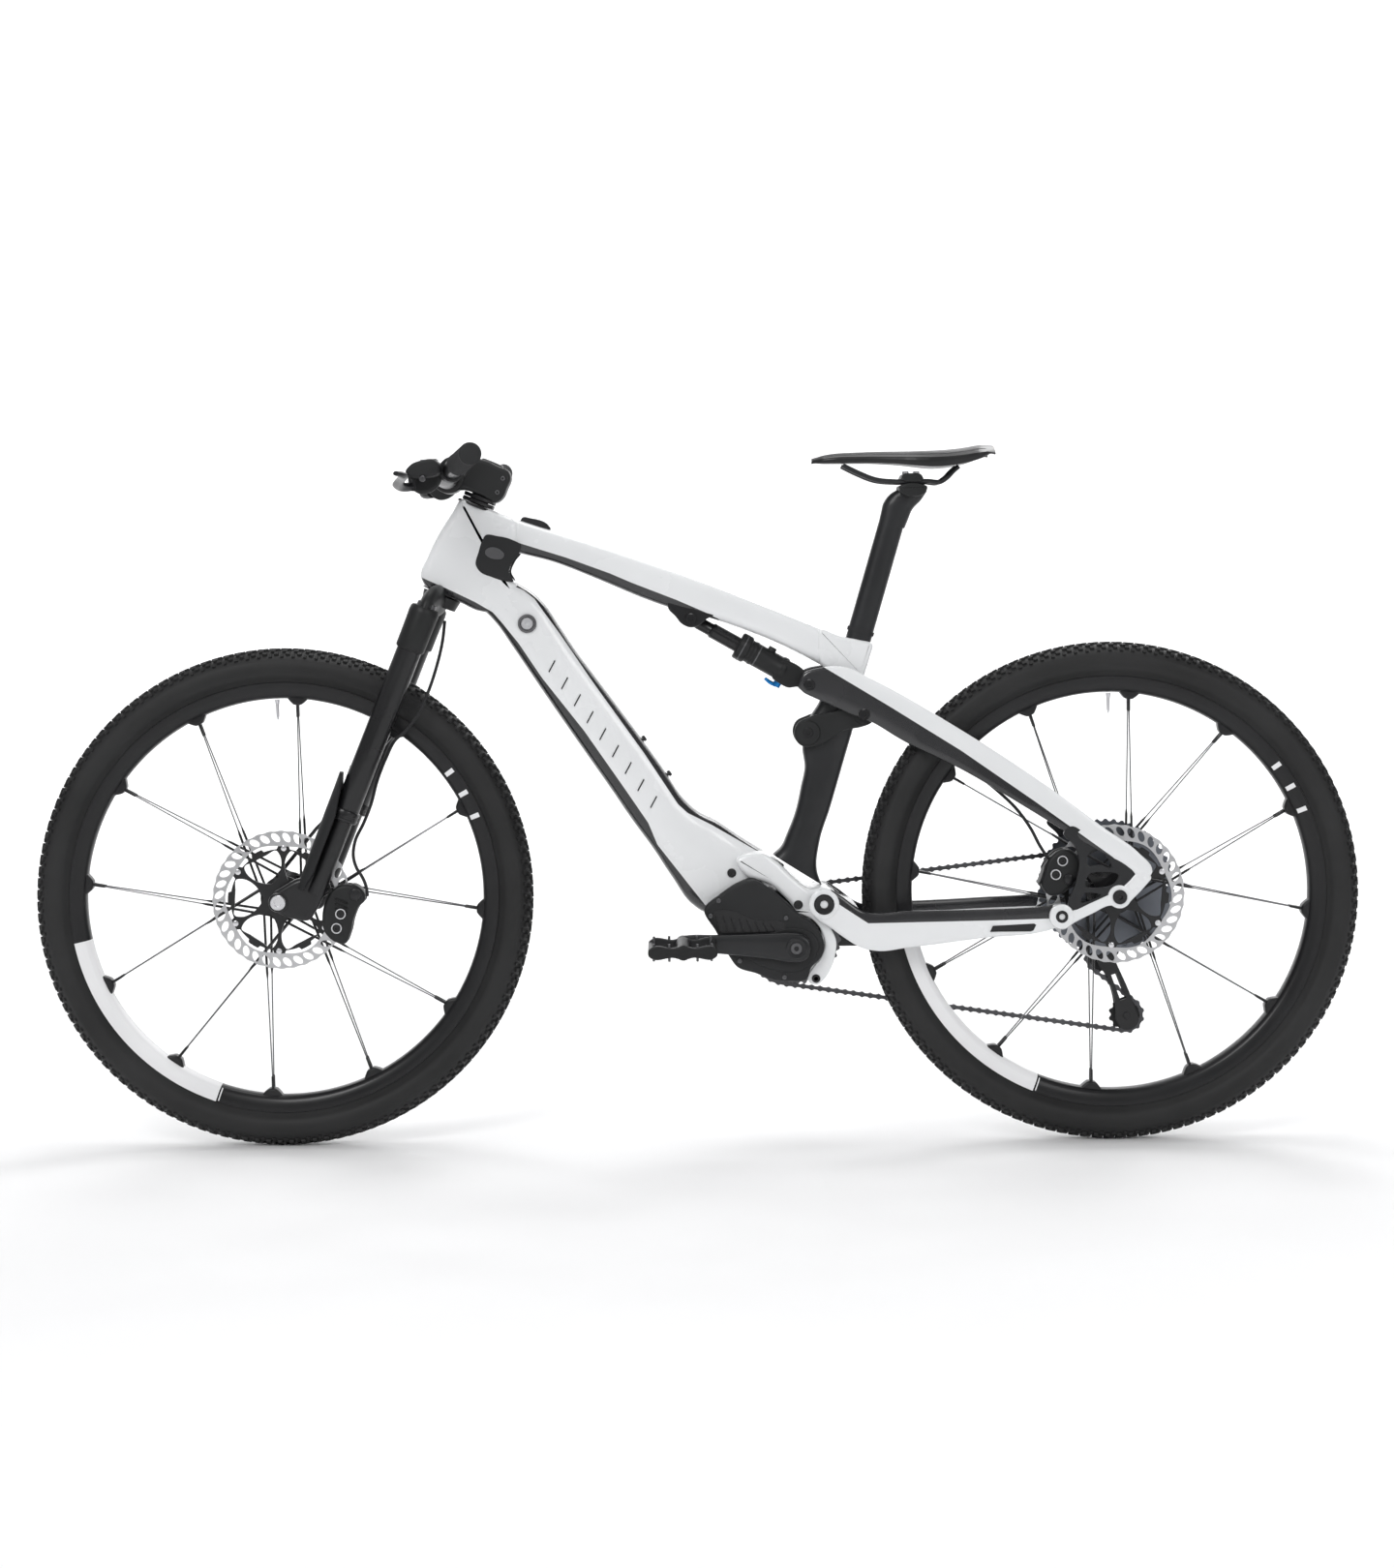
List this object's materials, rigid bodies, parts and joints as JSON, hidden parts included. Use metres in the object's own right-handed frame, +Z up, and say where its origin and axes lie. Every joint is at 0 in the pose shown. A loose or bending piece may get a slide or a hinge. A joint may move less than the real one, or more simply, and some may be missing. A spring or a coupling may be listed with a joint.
{
  "type": "full-suspension electric mountain bike",
  "caption": "Full-suspension electric mountain bike with telescopic fork, linked rear swingarm and shock, spoked wheels, disc brakes, derailleur drive and dropper seatpost.",
  "frame": {"origin": "centre of the object's box on the ground under the tyres, midway between the wheel axles", "axes": "+X towards the rear wheel, +Y towards the bike's right side, +Z up; the front wheel is at -X and the left side at -Y"},
  "size_m": [1.9577, 0.7566, 1.0319],
  "materials": {
    "white_frame": "gloss white lacquer",
    "carbon": "satin black",
    "black_plastic": "matt",
    "tyre": "matt rubber",
    "rim": "satin carbon with a white band",
    "steel": "brushed",
    "black_metal": "black anodised",
    "silver": "satin",
    "rubber": "matt",
    "blue": "anodised blue",
    "saddle": "smooth synthetic",
    "screen": "gloss"
  },
  "bodies": {
    "frame": {"head_tube": "white_frame", "top_tube": "white_frame", "down_tube": "white_frame", "seat_tube": "carbon", "seat_collar": "white_frame", "motor_bay": "white_frame", "motor_unit": "black_metal", "motor_cover": "black_plastic", "battery_pack": "black_plastic", "headset_bearings": "black_metal", "display_unit": "screen", "frame_bolts": "black_metal", "bottle_bolts": "black_metal", "chain": "steel"},
    "charge_port": {"charge_port_flap": "rubber"},
    "lock": {"frame_lock": "silver"},
    "steering": {"fork_crown": "black_metal", "fork_upper_tubes": "black_metal", "stem": "black_metal", "steerer_spacers": "black_metal", "handlebar": "carbon", "grips": "rubber", "brake_masters": "black_plastic"},
    "lever_left": {"brake_lever_left": "carbon"},
    "lever_right": {"brake_lever_right": "carbon"},
    "fork_slider": {"fork_lower_legs": "black_metal", "fork_guards": "black_plastic", "front_axle_rod": "silver", "front_caliper": "black_metal", "front_hose": "rubber"},
    "front_wheel": {"front_tyre": "tyre", "front_rim": "rim", "front_spokes": "steel", "front_hub": "black_metal", "front_disc": "steel"},
    "chainstays": {"chainstay": "white_frame"},
    "seatstays": {"seatstay": "white_frame", "rear_axle_rod": "black_metal", "rear_caliper": "black_metal", "derailleur_body": "black_metal"},
    "rocker": {"rocker_links": "black_metal"},
    "shock_shaft": {"shock_rod": "black_metal"},
    "shock_body": {"shock_can": "black_metal"},
    "shock_switch": {"shock_lever": "blue"},
    "rear_wheel": {"rear_tyre": "tyre", "rear_rim": "rim", "rear_spokes": "steel", "rear_hub": "black_metal", "rear_disc": "steel"},
    "sprockets": {"cassette": "steel"},
    "cranks": {"crank_arms": "carbon", "chainring": "black_metal"},
    "left_pedal": {"pedal_left": "black_metal"},
    "right_pedal": {"pedal_right": "black_metal"},
    "cage": {"derailleur_cage": "black_metal"},
    "upper_pulley": {"guide_wheel": "black_plastic"},
    "lower_pulley": {"tension_wheel": "black_plastic"},
    "seat": {"seatpost": "carbon", "saddle_pad": "saddle", "saddle_rails": "carbon"}
  },
  "joints": [
    {"name": "steering", "type": "hinge", "parent": "frame", "child": "steering", "pos_m": [-0.37258, 0, 0.81869], "axis": [0.3714, 0, 0.9285], "range_deg": [-45, 45]},
    {"name": "brake_lever_left_pull", "type": "hinge", "parent": "steering", "child": "lever_left", "pos_m": [-0.399, -0.183, 0.975], "axis": [0, 0, 1], "range_deg": [0, 18], "stiffness_Nm_per_rad": 1.5, "springref_deg": -5.73},
    {"name": "brake_lever_right_pull", "type": "hinge", "parent": "steering", "child": "lever_right", "pos_m": [-0.399, 0.183, 0.975], "axis": [0, 0, -1], "range_deg": [0, 18], "stiffness_Nm_per_rad": 1.5, "springref_deg": -5.73},
    {"name": "fork_travel", "type": "slide", "parent": "steering", "child": "fork_slider", "axis": [0.3714, 0, 0.9285], "range_m": [0, 0.1], "stiffness_N_per_m": 8000, "springref_m": -0.004, "deforming": ["front_hose"]},
    {"name": "front_wheel_spin", "type": "hinge", "parent": "fork_slider", "child": "front_wheel", "pos_m": [-0.611, 0, 0.368], "axis": [0, -1, 0], "continuous": true},
    {"name": "charge_port_open", "type": "hinge", "parent": "frame", "child": "charge_port", "pos_m": [-0.297, -0.03, 0.8668], "axis": [0.9739, 0, -0.227], "range_deg": [0, 90]},
    {"name": "frame_lock_turn", "type": "hinge", "parent": "frame", "child": "lock", "pos_m": [-0.248, 0, 0.77], "axis": [0, -1, 0], "range_deg": [0, 90]},
    {"name": "chainstay_pivot", "type": "hinge", "parent": "frame", "child": "chainstays", "pos_m": [0.184, 0, 0.357], "axis": [0, -1, 0], "range_deg": [0, 11.5], "stiffness_Nm_per_rad": 1500, "springref_deg": -1.15},
    {"name": "seatstay_pivot", "type": "hinge", "parent": "chainstays", "child": "seatstays", "pos_m": [0.527, 0, 0.34], "axis": [0, -1, 0], "range_deg": [-6.6, 0.2], "deforming": ["chain"]},
    {"name": "rocker_pivot", "type": "hinge", "parent": "frame", "child": "rocker", "pos_m": [0.164, 0, 0.606], "axis": [0, -1, 0], "range_deg": [-0.2, 34]},
    {"name": "shock_swing", "type": "hinge", "parent": "frame", "child": "shock_shaft", "pos_m": [-0.007, 0, 0.775], "axis": [0, -1, 0], "range_deg": [-0.2, 6]},
    {"name": "shock_stroke", "type": "slide", "parent": "shock_shaft", "child": "shock_body", "axis": [-0.8701, 0, 0.4929], "range_m": [-0.001, 0.0452]},
    {"name": "shock_lever_turn", "type": "hinge", "parent": "shock_body", "child": "shock_switch", "pos_m": [0.1205, 0, 0.67749], "axis": [0.4929, 0, 0.8701], "range_deg": [0, 90]},
    {"name": "rear_wheel_spin", "type": "hinge", "parent": "seatstays", "child": "rear_wheel", "pos_m": [0.611, 0, 0.368], "axis": [0, -1, 0], "continuous": true},
    {"name": "cassette_spin", "type": "hinge", "parent": "seatstays", "child": "sprockets", "pos_m": [0.611, 0, 0.368], "axis": [0, -1, 0], "continuous": true},
    {"name": "crank_spin", "type": "hinge", "parent": "frame", "child": "cranks", "pos_m": [0.142, 0, 0.296], "axis": [0, -1, 0], "continuous": true},
    {"name": "pedal_left_spin", "type": "hinge", "parent": "cranks", "child": "left_pedal", "pos_m": [-0.02277, -0.13, 0.30464], "axis": [0, -1, 0], "continuous": true},
    {"name": "pedal_right_spin", "type": "hinge", "parent": "cranks", "child": "right_pedal", "pos_m": [0.30677, 0.13, 0.28736], "axis": [0, -1, 0], "continuous": true},
    {"name": "derailleur_cage_swing", "type": "hinge", "parent": "seatstays", "child": "cage", "pos_m": [0.608, 0.07, 0.262], "axis": [0, -1, 0], "range_deg": [0, 25], "stiffness_Nm_per_rad": 3, "springref_deg": -17.19},
    {"name": "guide_wheel_spin", "type": "hinge", "parent": "cage", "child": "upper_pulley", "pos_m": [0.608, 0.053, 0.262], "axis": [0, -1, 0], "continuous": true},
    {"name": "tension_wheel_spin", "type": "hinge", "parent": "cage", "child": "lower_pulley", "pos_m": [0.642, 0.053, 0.174], "axis": [0, -1, 0], "continuous": true},
    {"name": "seatpost_slide", "type": "slide", "parent": "frame", "child": "seat", "axis": [0.2823, 0, 0.9593], "range_m": [-0.08, 0.03]}
  ],
  "couplings": [
    {"joint": "seatstay_pivot", "follows": "chainstay_pivot", "ratio": -0.5575},
    {"joint": "rocker_pivot", "follows": "chainstay_pivot", "ratio": 2.94},
    {"joint": "shock_swing", "follows": "chainstay_pivot", "ratio": 0.48},
    {"joint": "shock_stroke", "follows": "chainstay_pivot", "m_per_rad": 0.22},
    {"joint": "cassette_spin", "follows": "crank_spin", "ratio": 1.2857},
    {"joint": "guide_wheel_spin", "follows": "crank_spin", "ratio": -3},
    {"joint": "tension_wheel_spin", "follows": "crank_spin", "ratio": 3}
  ]
}
